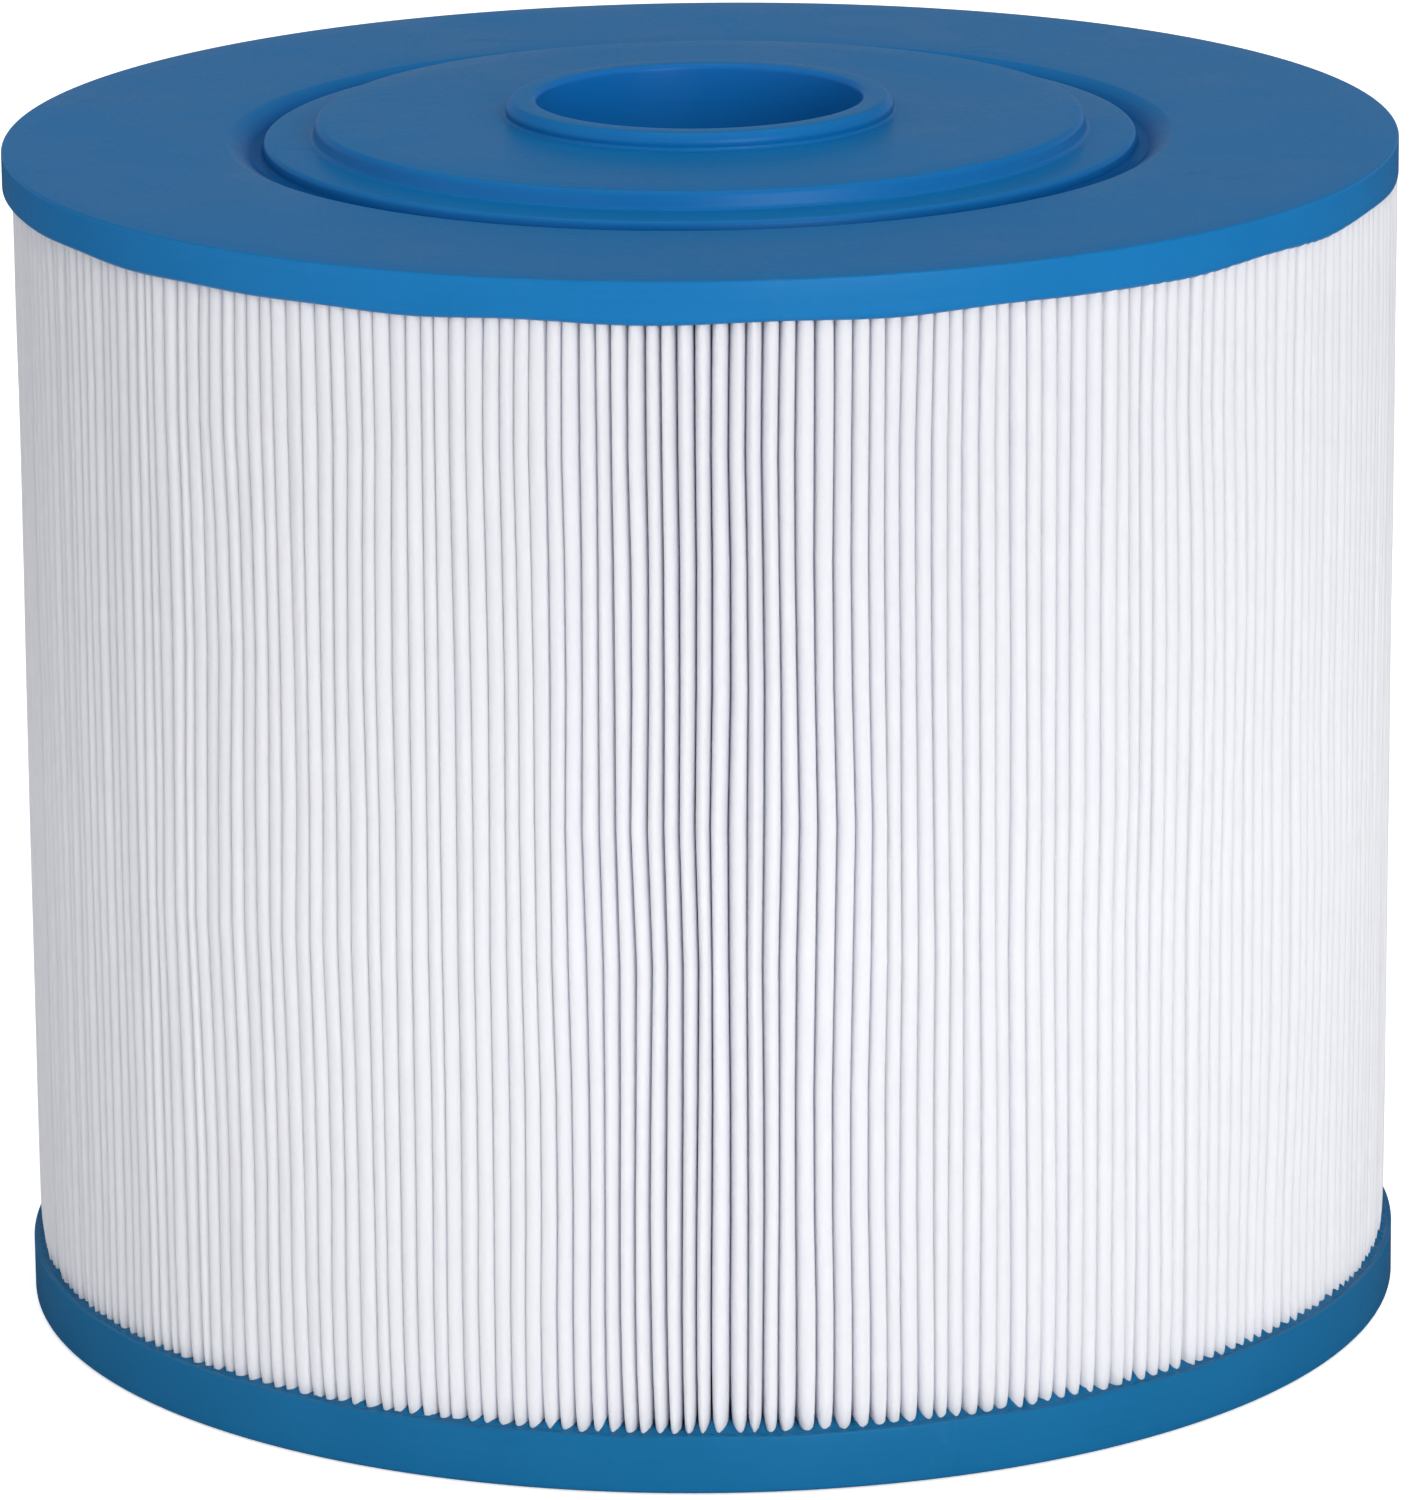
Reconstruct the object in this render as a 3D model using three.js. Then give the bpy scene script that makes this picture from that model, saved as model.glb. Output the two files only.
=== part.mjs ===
// Pleated filter cartridge for a spa: two cast polyurethane end caps, one folded nonwoven sheet
// closed by a seam clip, and a latticed centre core built up from three stacked sections with a
// stiffening disc in each end. Millimetres, +Z up along the cartridge axis.
// Origin: centre of the bottom cap's flat underside, on the cartridge axis.
import * as THREE from "three";

// ---- Shared dimensions --------------------------------------------------------------------
// Faces that touch lie on heights in multiples of 1/8 mm, so that they share exactly one plane.
const FLANGE_TOP_Z = 184.5; // top cap's flat face
const CAP_FLOOR_T = 4.5; // cap thickness over each end of the media
const MEDIA_BOTTOM_Z = CAP_FLOOR_T; // lower potting channel's floor
const MEDIA_TOP_Z = FLANGE_TOP_Z - CAP_FLOOR_T; // upper potting channel's ceiling
const MEDIA_H = MEDIA_TOP_Z - MEDIA_BOTTOM_Z;
const MEDIA_OUTER_R = 107.25; // fold tips, and the seam clip's outer face
const SLEEVE_R = 28.75; // outside of the sleeve that lines each cap's port

// ---- Materials ----------------------------------------------------------------------------
const matt = ({ color, roughness }) =>
  new THREE.MeshStandardMaterial({ color, roughness, metalness: 0 });

const materials = {
  topCap: matt({ color: 0x1f6fae, roughness: 0.42 }), // blue
  bottomCap: matt({ color: 0x1b659f, roughness: 0.45 }), // slightly darker blue
  media: matt({ color: 0xeeeff3, roughness: 0.9 }),
  core: matt({ color: 0xe4e5e6, roughness: 0.5 }),
  clip: matt({ color: 0xf2f2f0, roughness: 0.6 }),
};

// ---- Helpers ------------------------------------------------------------------------------
const cartridge = new THREE.Group();

function add(name, geometry, material, z = 0) {
  const mesh = new THREE.Mesh(geometry, material);
  mesh.name = name;
  mesh.position.z = z;
  cartridge.add(mesh);
}

// A ring of revolution about Z from a (radius, z) profile listed counter-clockwise in the
// r-z plane. The first point is repeated to close it.
function turned(profile, segments) {
  const closed = [...profile, profile[0]].map(([radius, z]) => new THREE.Vector2(radius, z));
  return new THREE.LatheGeometry(closed, segments).rotateX(Math.PI / 2);
}

// An (x, y) outline extruded to the height of the media, from z = 0.
function mediaHeightPrism(outline) {
  const shape = new THREE.Shape(outline.map(([x, y]) => new THREE.Vector2(x, y)));
  return new THREE.ExtrudeGeometry(shape, { depth: MEDIA_H, bevelEnabled: false });
}

// ---- End caps -----------------------------------------------------------------------------
const CAP_SEGMENTS = 60;
const PORT_R = 25.25; // central port, both caps (2 in nominal)
const CHANNEL_R = 107.5; // potting channel's outer wall, both caps

// Wide flat flange, a moat, a low step, a raised disc over the core and a rolled collar
// round the port. The underside is the potting channel.
function topCap() {
  const FLANGE_R = 108; // 8 1/2 in across
  const LIP_Z = 178.25; // lower edge of the flange's lip
  const LIP_CHAMFER = 0.25;
  const RIM_CHAMFER = 0.4;
  const SLEEVE_END_Z = 172;

  // Radius, height above the flange's flat face; from the flange in to the port.
  const upperFace = [
    // flat flange
    [FLANGE_R, -RIM_CHAMFER], [FLANGE_R - RIM_CHAMFER, 0], [72.4, 0],
    // moat
    [71.5, -0.25], [70.2, -1.6], [68.9, -2.25], [68.0, -2], [67.6, -0.5],
    // low step
    [67, 0.125], [59.75, 0.25],
    // raised disc
    [59.5, 2.5], [59, 3], [29.6, 3],
    // rolled collar
    [30, 4.25], [29.4, 5.4], [28.5, 5.75], [26.25, 5.75], [25.5, 5.4], [PORT_R, 4.75],
  ];
  return turned(
    [
      [PORT_R, SLEEVE_END_Z],
      [SLEEVE_R, SLEEVE_END_Z],
      [SLEEVE_R, MEDIA_TOP_Z],
      [CHANNEL_R, MEDIA_TOP_Z],
      [CHANNEL_R, LIP_Z],
      [FLANGE_R - LIP_CHAMFER, LIP_Z],
      [FLANGE_R, LIP_Z + LIP_CHAMFER],
      ...upperFace.map(([radius, height]) => [radius, FLANGE_TOP_Z + height]),
    ],
    CAP_SEGMENTS,
  );
}

// A shallow dish with a ring groove in its flat underside and a sleeve round the port.
function bottomCap() {
  const OUTER_R = 108.25;
  const RIM_Z = 9; // top of the outer lip
  const RIM_CHAMFER = 0.375;
  const UNDERSIDE_CHAMFER = 0.75; // at the port and at the outer wall
  const SLEEVE_END_Z = 13;

  // Radius, z
  const groove = [[67.5, 0], [69, 1.5], [70.5, 1.5], [72, 0]];
  return turned(
    [
      [PORT_R, SLEEVE_END_Z],
      [PORT_R, UNDERSIDE_CHAMFER],
      [PORT_R + UNDERSIDE_CHAMFER, 0],
      ...groove,
      [OUTER_R - UNDERSIDE_CHAMFER, 0],
      [OUTER_R, UNDERSIDE_CHAMFER],
      [OUTER_R, RIM_Z - RIM_CHAMFER],
      [OUTER_R - RIM_CHAMFER, RIM_Z],
      [CHANNEL_R, RIM_Z],
      [CHANNEL_R, MEDIA_BOTTOM_Z],
      [SLEEVE_R, MEDIA_BOTTOM_Z],
      [SLEEVE_R, SLEEVE_END_Z],
    ],
    CAP_SEGMENTS,
  );
}

add("top_end_cap", topCap(), materials.topCap);
add("bottom_end_cap", bottomCap(), materials.bottomCap);

// ---- Pleated media ------------------------------------------------------------------------
// One sheet, folded back and forth between the core and the outside. Both its ends finish at the
// outside, side by side at the back (+Y), where the seam clip holds them together.
function pleatedMedia() {
  const PLEATS = 270; // inner folds; the seam stands in for one of as many outer folds
  const INNER_R = 57.75; // folds against the core
  const SHEET_T = 0.5;
  const TIP_HALF_W = 0.7; // half width of one outer fold
  const HEEL_HALF_W = 0.47; // half width of one inner fold
  const END_R = 106.625; // the sheet's two ends
  const END_NEAR = 0.275; // the end legs' two faces, measured across from the seam line
  const END_FAR = 0.725;

  // The point at a radius, `pleat` pleats round from the seam, shifted sideways by `across`.
  const at = (radius, pleat, across = 0) => {
    const angle = Math.PI / 2 + (pleat * 2 * Math.PI) / PLEATS;
    return [
      radius * Math.cos(angle) - across * Math.sin(angle),
      radius * Math.sin(angle) + across * Math.cos(angle),
    ];
  };

  // Out along the face with the wide tips, then back along the face with the wide heels.
  const outline = [at(END_R, 0, END_FAR)];
  for (let j = 0; j < PLEATS; j++) {
    outline.push(at(INNER_R + SHEET_T, j + 0.5));
    if (j < PLEATS - 1) {
      outline.push(at(MEDIA_OUTER_R, j + 1, -TIP_HALF_W));
      outline.push(at(MEDIA_OUTER_R, j + 1, TIP_HALF_W));
    }
  }
  outline.push(at(END_R, 0, -END_FAR), at(END_R, 0, -END_NEAR));
  for (let j = PLEATS - 1; j >= 0; j--) {
    outline.push(at(INNER_R, j + 0.5, HEEL_HALF_W));
    outline.push(at(INNER_R, j + 0.5, -HEEL_HALF_W));
    if (j > 0) outline.push(at(MEDIA_OUTER_R - SHEET_T, j));
  }
  outline.push(at(END_R, 0, END_NEAR));
  return mediaHeightPrism(outline);
}
add("pleated_media", pleatedMedia(), materials.media, MEDIA_BOTTOM_Z);

// ---- Seam clip ----------------------------------------------------------------------------
// A U-shaped strip, the height of the sheet, pushed over the sheet's two ends.
function seamClip() {
  const WALL = 0.35;
  const HALF_W = 1.15;
  const DEPTH = 6;
  const mouthY = MEDIA_OUTER_R - DEPTH; // the U opens towards the axis
  const innerHalfW = HALF_W - WALL;
  return mediaHeightPrism([
    [-HALF_W, mouthY],
    [-innerHalfW, mouthY],
    [-innerHalfW, MEDIA_OUTER_R - WALL],
    [innerHalfW, MEDIA_OUTER_R - WALL],
    [innerHalfW, mouthY],
    [HALF_W, mouthY],
    [HALF_W, MEDIA_OUTER_R],
    [-HALF_W, MEDIA_OUTER_R],
  ]);
}
add("seam_clip", seamClip(), materials.clip, MEDIA_BOTTOM_Z);

// ---- Centre core --------------------------------------------------------------------------
const CORE_OUTER_R = 57;
const CORE_INNER_R = 53.5;
const CORE_COLUMNS = 16; // windows round the core
const RIB_SHARE = 1 / 3; // share of each column that is rib
const JOINT_GAP = 0.25; // between spigot and socket, radially and at the spigot's end
const SPIGOT_R = 55.25; // outside of the spigot on a section's top
const SPIGOT_H = 3.75;
const SOCKET_R = SPIGOT_R + JOINT_GAP; // inside of the socket in a section's foot
const SOCKET_H = SPIGOT_H + JOINT_GAP;
const SECTION_H = MEDIA_H / 3;
// Bottom and top of each row of windows, above the section's foot.
const WINDOW_ROWS = [[8, 28.5], [32.5, 52.5]];

// A lattice tube made of stacked bands, each { z0, z1, inner, outer, open } with its two radii.
// An open band has ribs only. All corners are shared, so the surface closes on itself.
function lattice(bands) {
  // Even slices between these angles are ribs, odd ones windows.
  const angles = [];
  for (let column = 0; column < CORE_COLUMNS; column++) {
    const start = (column * 2 * Math.PI) / CORE_COLUMNS;
    angles.push(start, start + (RIB_SHARE * 2 * Math.PI) / CORE_COLUMNS);
  }
  const slices = angles.length;
  const positions = [];
  const index = [];
  const seen = new Map();

  const corner = (i, radius, z) => {
    const slice = i % slices;
    const key = `${slice}/${radius}/${z}`;
    if (!seen.has(key)) {
      seen.set(key, positions.length / 3);
      positions.push(radius * Math.cos(angles[slice]), radius * Math.sin(angles[slice]), z);
    }
    return seen.get(key);
  };
  // A four-cornered face from (slice, radius, z) corners, counter-clockwise seen from outside.
  const quad = (...corners) => {
    const [a, b, c, d] = corners.map((place) => corner(...place));
    index.push(a, b, c, a, c, d);
  };
  const solid = (k, i) => k >= 0 && k < bands.length && (!bands[k].open || i % 2 === 0);

  bands.forEach(({ z0, z1, inner, outer }, k) => {
    for (let i = 0; i < slices; i++) {
      if (!solid(k, i)) continue;
      const j = i + 1;
      // Outer and inner walls, then the rib's sides where a window adjoins.
      quad([i, outer, z0], [j, outer, z0], [j, outer, z1], [i, outer, z1]);
      quad([j, inner, z0], [i, inner, z0], [i, inner, z1], [j, inner, z1]);
      if (!solid(k, (i + slices - 1) % slices))
        quad([i, inner, z0], [i, outer, z0], [i, outer, z1], [i, inner, z1]);
      if (!solid(k, j % slices))
        quad([j, outer, z0], [j, inner, z0], [j, inner, z1], [j, outer, z1]);

      // Top and foot, only where the neighbouring band leaves them bare.
      const top = (from, to) =>
        from < to && quad([i, from, z1], [i, to, z1], [j, to, z1], [j, from, z1]);
      const foot = (from, to) =>
        from < to && quad([i, to, z0], [i, from, z0], [j, from, z0], [j, to, z0]);
      const cover = (face, neighbour) => {
        if (solid(neighbour, i)) {
          face(inner, bands[neighbour].inner);
          face(bands[neighbour].outer, outer);
        } else face(inner, outer);
      };
      cover(top, k + 1);
      cover(foot, k - 1);
    }
  });

  const geometry = new THREE.BufferGeometry();
  geometry.setAttribute("position", new THREE.Float32BufferAttribute(positions, 3));
  geometry.setIndex(index);
  geometry.computeVertexNormals();
  return geometry;
}

function coreSection({ socket, spigot }) {
  const wall = { inner: CORE_INNER_R, outer: CORE_OUTER_R };
  const bands = [];
  if (socket) bands.push({ ...wall, z0: 0, z1: SOCKET_H, inner: SOCKET_R });
  let hoopZ = socket ? SOCKET_H : 0; // foot of the next solid hoop
  for (const [z0, z1] of WINDOW_ROWS) {
    bands.push({ ...wall, z0: hoopZ, z1: z0 });
    bands.push({ ...wall, z0, z1, open: true });
    hoopZ = z1;
  }
  bands.push({ ...wall, z0: hoopZ, z1: SECTION_H });
  if (spigot) bands.push({ ...wall, z0: SECTION_H, z1: SECTION_H + SPIGOT_H, outer: SPIGOT_R });
  return lattice(bands);
}

[
  { name: "core_lower_section", socket: false, spigot: true },
  { name: "core_middle_section", socket: true, spigot: true },
  { name: "core_upper_section", socket: true, spigot: false },
].forEach(({ name, ...joints }, level) =>
  add(name, coreSection(joints), materials.core, MEDIA_BOTTOM_Z + level * SECTION_H),
);

// ---- Stiffening discs ---------------------------------------------------------------------
// Each closes the wide core down to the port and carries the soft cap above or below it.
// `inward` is the direction along Z from the disc's flat face to its skirt: 1 up, -1 down.
function stiffeningDisc(faceZ, inward) {
  const OUTER_R = 52.5; // loose inside the core's end
  const BORE_R = SLEEVE_R + 0.5; // clears the port sleeve
  const DISC_T = 3;
  const SKIRT_H = 4;
  const SKIRT_T = 2;
  const SEGMENTS = 48;
  const backZ = faceZ + inward * DISC_T;
  const skirtZ = backZ + inward * SKIRT_H;
  const profile = [
    [BORE_R, faceZ],
    [OUTER_R, faceZ],
    [OUTER_R, skirtZ],
    [OUTER_R - SKIRT_T, skirtZ],
    [OUTER_R - SKIRT_T, backZ],
    [BORE_R, backZ],
  ];
  return turned(inward > 0 ? profile : profile.reverse(), SEGMENTS);
}
add("core_bottom_disc", stiffeningDisc(MEDIA_BOTTOM_Z, 1), materials.core);
add("core_top_disc", stiffeningDisc(MEDIA_TOP_Z, -1), materials.core);

export default cartridge;
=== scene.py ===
"""A pleated filter cartridge, standing upright on z = 0 about the Z axis.

Blue cast end caps hold a white folded sheet round a plastic lattice core. The front faces -Y,
where the camera stands; the sheet's seam and its clip are at the back, +Y.
Shapes are in millimetres (MM turns them into metres); materials, lights and camera in metres.
"""

import math

import bpy
import numpy as np
from mathutils import Matrix, Vector


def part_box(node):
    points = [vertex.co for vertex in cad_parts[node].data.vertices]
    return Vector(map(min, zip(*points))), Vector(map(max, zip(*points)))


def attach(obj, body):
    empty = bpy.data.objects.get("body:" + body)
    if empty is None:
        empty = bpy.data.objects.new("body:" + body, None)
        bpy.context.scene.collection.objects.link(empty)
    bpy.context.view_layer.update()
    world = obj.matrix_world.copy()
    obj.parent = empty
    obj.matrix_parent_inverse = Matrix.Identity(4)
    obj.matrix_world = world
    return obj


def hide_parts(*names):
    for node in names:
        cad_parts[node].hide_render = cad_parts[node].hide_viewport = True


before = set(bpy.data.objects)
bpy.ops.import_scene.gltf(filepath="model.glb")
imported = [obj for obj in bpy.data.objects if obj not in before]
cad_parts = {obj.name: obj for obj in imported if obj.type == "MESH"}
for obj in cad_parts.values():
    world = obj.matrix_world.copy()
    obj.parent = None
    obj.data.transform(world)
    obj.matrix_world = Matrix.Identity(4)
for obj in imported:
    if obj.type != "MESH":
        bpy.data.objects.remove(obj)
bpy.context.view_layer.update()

MM = 0.001
TAU = 2.0 * math.pi
scene = bpy.context.scene

# --------------------------------------------------------------------------------------------
# Heights and radii shared between the pieces, mm
# --------------------------------------------------------------------------------------------


def node_box(name):
    low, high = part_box(name)
    return np.array(low) / MM, np.array(high) / MM


top_low, top_high = node_box("top_end_cap")
bottom_high = node_box("bottom_end_cap")[1]
media_low, media_high = node_box("pleated_media")

Z_COLLAR = float(top_high[2])  # top of the collar round the bore
Z_FLANGE = Z_COLLAR - 5.75  # flange's upper face
Z_LIP = Z_FLANGE - 6.25  # flange's lower edge
Z_SLEEVE = float(top_low[2])  # foot of the top cap's sleeve
R_FLANGE = float(top_high[0])
R_BASE = float(bottom_high[0])
Z_RIM = 9.0  # bottom cap's rim
R_BORE = 25.25  # bore of both caps
R_SLEEVE = 28.75  # outside of the sleeve round the bore
Z_MEDIA0, Z_MEDIA1 = float(media_low[2]), float(media_high[2])
R_MEDIA = 107.25  # nominal radius of the fold tips
R_HEEL = 57.75  # inner folds
PLEATS = 270
STEP = TAU / PLEATS
BACK = math.pi / 2  # angle of +Y

# --------------------------------------------------------------------------------------------
# Mesh helpers
# --------------------------------------------------------------------------------------------


def make_object(name, verts_mm, faces, smooth=True):
    """A mesh object from vertices in millimetres and faces as index tuples."""
    mesh = bpy.data.meshes.new(name)
    mesh.from_pydata((np.asarray(verts_mm, float) * MM).tolist(), [], faces)
    mesh.validate()
    if smooth:
        mesh.polygons.foreach_set("use_smooth", np.ones(len(mesh.polygons), bool))
    mesh.update()
    obj = bpy.data.objects.new(name, mesh)
    scene.collection.objects.link(obj)
    return obj


def fillets(corners, segments):
    """A closed outline from (r, z, corner radius) rows; segments counts per quarter turn."""
    outline = []
    for i, (*point, rounding) in enumerate(corners):
        corner = np.array(point, float)
        if rounding <= 0:
            outline.append(corner)
            continue
        to_last = np.array(corners[i - 1][:2], float) - corner
        to_next = np.array(corners[(i + 1) % len(corners)][:2], float) - corner
        last_length, next_length = np.linalg.norm(to_last), np.linalg.norm(to_next)
        to_last, to_next = to_last / last_length, to_next / next_length
        half = math.acos(max(-1.0, min(1.0, float(to_last @ to_next)))) / 2
        if math.pi - 2 * half < 0.06:  # all but straight
            outline.append(corner)
            continue
        reach = min(rounding / math.tan(half), last_length * 0.49, next_length * 0.49)
        rounding = reach * math.tan(half)
        middle = to_last + to_next
        centre = corner + middle / np.linalg.norm(middle) * (rounding / math.sin(half))
        start, end = corner + to_last * reach - centre, corner + to_next * reach - centre
        start_angle = math.atan2(start[1], start[0])
        turn = (math.atan2(end[1], end[0]) - start_angle + math.pi) % TAU - math.pi
        count = max(2, int(round(segments * abs(turn) / (math.pi / 2))) + 1)
        for k in range(count + 1):
            angle = start_angle + turn * k / count
            outline.append(centre + rounding * np.array([math.cos(angle), math.sin(angle)]))
    return np.array(outline)


def refine(outline, longest):
    """Splits a closed outline's edges that are longer than `longest`."""
    points = []
    for i, start in enumerate(outline):
        end = outline[(i + 1) % len(outline)]
        cuts = max(1, int(math.ceil(np.linalg.norm(end - start) / longest)))
        for k in range(cuts):
            points.append(start + (end - start) * k / cuts)
    return np.array(points)


def revolve(name, outline, angles, level=None):
    """Turns a closed anticlockwise (r, z) outline about Z. level(radius, z, angle) gives new z."""
    count, turns = len(outline), len(angles)
    angle = np.repeat(angles[:, None], count, 1)
    radius = np.repeat(outline[None, :, 0], turns, 0)
    z = np.repeat(outline[None, :, 1], turns, 0)
    if level is not None:
        z = level(radius, z, angle)
    verts = np.stack([radius * np.cos(angle), radius * np.sin(angle), z], -1).reshape(-1, 3)
    i, j = np.meshgrid(np.arange(turns), np.arange(count), indexing="ij")
    i2, j2 = (i + 1) % turns, (j + 1) % count
    faces = np.stack([i * count + j, i2 * count + j, i2 * count + j2, i * count + j2], -1)
    return make_object(name, verts, faces.reshape(-1, 4).tolist())


def tube_faces(rows, count):
    """Quads between rows of closed loops stacked upwards, each of `count` points."""
    i, j = np.meshgrid(np.arange(rows - 1), np.arange(count), indexing="ij")
    j2 = (j + 1) % count
    above = (i + 1) * count
    faces = np.stack([i * count + j, i * count + j2, above + j2, above + j], -1)
    return faces.reshape(-1, 4).tolist()


def periodic_noise(seed, angles, harmonics, amplitude, lowest):
    """A smooth random function of angle that closes on itself."""
    rng = np.random.default_rng(seed)
    orders = np.arange(lowest, lowest + harmonics)
    phase = rng.uniform(0, TAU, harmonics)
    gain = rng.normal(0, 1, harmonics) / math.sqrt(harmonics)
    return amplitude * np.sum(gain * np.cos(angles[..., None] * orders + phase), -1)


# --------------------------------------------------------------------------------------------
# Where every fold stands: irregular spacing, slow sway and lean, as the folded sheet has.
# Fold 0 is the seam at the back; the count runs anticlockwise seen from above.
# Arrays are [height row, fold] unless said otherwise, lengths in mm.
# --------------------------------------------------------------------------------------------

Z_ROWS = np.array(
    [4.5, 8.2, 9.4, 10.8, 13.2, 18.0, 28.0, 43.0, 61.0, 81.0,
     102.0, 123.0, 142.0, 158.0, 169.5, 175.2, 178.0, 180.0]
)
RIM_ROW = 2  # the row just above the bottom cap's rim
KNOTS = 8
KNOT_Z = np.linspace(0.0, 184.0, KNOTS)
MIN_PITCH = 1.55  # closest two folds may stand
CLIP_CLEARANCE = 0.05  # the seam's neighbours may not shift towards it more than minus this

rng = np.random.default_rng(20270)


def spline_rows(knots):
    """Cubic curves through knot values [KNOTS, n], read at Z_ROWS."""
    place = Z_ROWS / KNOT_Z[1]
    knot = place.astype(int)
    u = (place - knot)[:, None]
    before, start, end, after = (
        knots[np.clip(knot + step, 0, KNOTS - 1)] for step in (-1, 0, 1, 2)
    )
    return 0.5 * (
        2 * start + (end - before) * u + (2 * before - 5 * start + 4 * end - after) * u**2
        + (3 * start - before - 3 * end + after) * u**3
    )


def smooth_around(values, width):
    """Smooths values [.., PLEATS] round the circle."""
    fold = np.arange(PLEATS)
    distance = np.minimum(fold, PLEATS - fold)
    kernel = np.exp(-0.5 * (distance / width) ** 2)
    kernel /= math.sqrt(np.sum(kernel**2))
    return np.real(np.fft.ifft(np.fft.fft(values, axis=-1) * np.fft.fft(kernel), axis=-1))


def pitches(places):
    """Distance from each fold to the next."""
    pitch = np.roll(places, -1, 1) - places
    pitch[:, -1] += TAU * R_MEDIA
    return pitch


fold_index = np.arange(PLEATS)
arc = (fold_index - PLEATS / 2) * STEP * R_MEDIA  # 0 at the front, + to +X

every_knot = np.ones((KNOTS, 1))
jitter = rng.normal(scale=0.20, size=(1, PLEATS)) * every_knot
lean = rng.normal(scale=0.13, size=(1, PLEATS)) * np.linspace(-1, 1, KNOTS)[:, None]
wobble = rng.normal(scale=0.10, size=(KNOTS, PLEATS))
sway = smooth_around(rng.normal(scale=1, size=(KNOTS, PLEATS)), width=3.0) * 0.26
# a stretch about 8.5 mm to each side of the front is pushed towards -X
crowd = -1.15 * np.exp(-0.5 * ((arc - 3.0) / 8.5) ** 2)[None, :] * every_knot
shift = spline_rows(jitter + lean + wobble + sway + crowd)  # tangential

recess = np.abs(rng.normal(scale=0.13, size=(1, PLEATS))) + np.abs(
    spline_rows(rng.normal(scale=0.08, size=(KNOTS, PLEATS)))
)

# Folds that stand too close push each other apart, a quarter of the overlap at a time.
places = shift + arc[None, :]
for _ in range(80):
    push = np.clip(MIN_PITCH - pitches(places), 0, None)
    places = places - push * 0.25 + np.roll(push, 1, 1) * 0.25
places[:, 0] = arc[0]  # the seam clip's place is fixed
shift = places - arc[None, :]
shift[:, 1] = np.maximum(shift[:, 1], CLIP_CLEARANCE)
shift[:, -1] = np.minimum(shift[:, -1], -CLIP_CLEARANCE)
places = shift + arc[None, :]

# Each fold is a rounded crest whose flanks spread until they nearly meet their neighbours' a few
# millimetres further in: half widths as a share of the room on that side, at these depths.
CREST_DEPTH = np.array([0.0, 0.07, 0.26, 0.52, 0.85, 1.35, 2.6])
CREST_SHARE = np.array([0.0, 0.32, 0.60, 0.80, 0.92, 0.96, 0.98])
OPEN_SHARE = np.array([0.0, 0.20, 0.38, 0.53, 0.65, 0.76, 0.93])
MAX_SHARE = 0.975
SHOULDER = 4  # depth sample where the crest turns into the flank
FOLD_LEAN = 0.07  # every fold leans to one side by this much per mm of depth
# the uneven stretch at the front stands more open; [1, fold]
opened = np.exp(-0.5 * ((arc + 1.0) / 13.0) ** 2)[None, :]
room_right = pitches(places)
room_left = np.roll(room_right, 1, 1)
blunt = 1.0 + rng.normal(scale=0.07, size=(1, PLEATS)) + spline_rows(
    rng.normal(scale=0.04, size=(KNOTS, PLEATS))
)

# Towards the potted ends the folds are pinched narrower: share of the width, by height; [row, 1].
pinch = np.interp(Z_ROWS, [4.5, 8.6, 9.4, 11.0, 14.0, 20.0, 168.0, 176.0, 180.0],
                  [0.66, 0.70, 0.76, 0.86, 0.95, 1.0, 1.0, 0.96, 0.90])[:, None]
tip_radius = np.interp(Z_ROWS, [4.5, 8.2, 10.5, 14.0, 24.0, 90.0, 180.0],
                       [106.4, 106.6, 106.9, 107.05, 107.15, 107.2, 107.2])[:, None] - recess

fold_angle = BACK + fold_index[None, :] * STEP + shift / R_MEDIA
next_angle = np.roll(fold_angle, -1, 1)
next_angle[:, -1] += TAU
valley_angle = (fold_angle + next_angle) / 2 + rng.normal(scale=0.0008, size=(1, PLEATS))


def pack_offset(z):
    """The folded pack sits a little off centre in X at the top."""
    return np.interp(z, [0, 180], [-0.1, 0.75])


def crest_width(sample, fold, room):
    """Half width of a fold at a depth sample, on the side with that room."""
    soft = np.clip(blunt[:, fold], 0.8, 1.2) if sample < SHOULDER else 1.0
    closed = CREST_SHARE[sample]
    share = closed + (OPEN_SHARE[sample] - closed) * opened[:, fold]
    share = np.minimum(share * soft, MAX_SHARE)
    narrow = 1.0 - (1.0 - pinch[:, 0]) * (1.0 if sample <= SHOULDER else 0.7)
    return 0.5 * room[:, fold] * share * narrow * (1.0 - CREST_DEPTH[sample] / R_MEDIA)


# --------------------------------------------------------------------------------------------
# The folded sheet
# --------------------------------------------------------------------------------------------


def polar(radius, angle, across=0.0):
    """Points at a radius and angle, moved `across` along the tangent."""
    cos, sin = np.cos(angle), np.sin(angle)
    return np.stack([radius * cos - across * sin, radius * sin + across * cos], -1)


def valley_out(fold):
    return polar(R_HEEL + 0.55, valley_angle[:, fold])


def seam_end(side, fold):
    """Outer tip and heel, then inner tip and heel, of the sheet's end on one side of the seam."""
    seam_radius = 106.625
    seam_angle = np.full(len(Z_ROWS), BACK)
    points = []
    for across, heel in [
        (0.725, valley_out(fold)),
        (0.275, polar(R_HEEL, valley_angle[:, fold], -side * 0.40)),
    ]:
        tip = polar(seam_radius, seam_angle, side * across)
        points += [tip, tip + (heel - tip) * 0.93]
    return points


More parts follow.
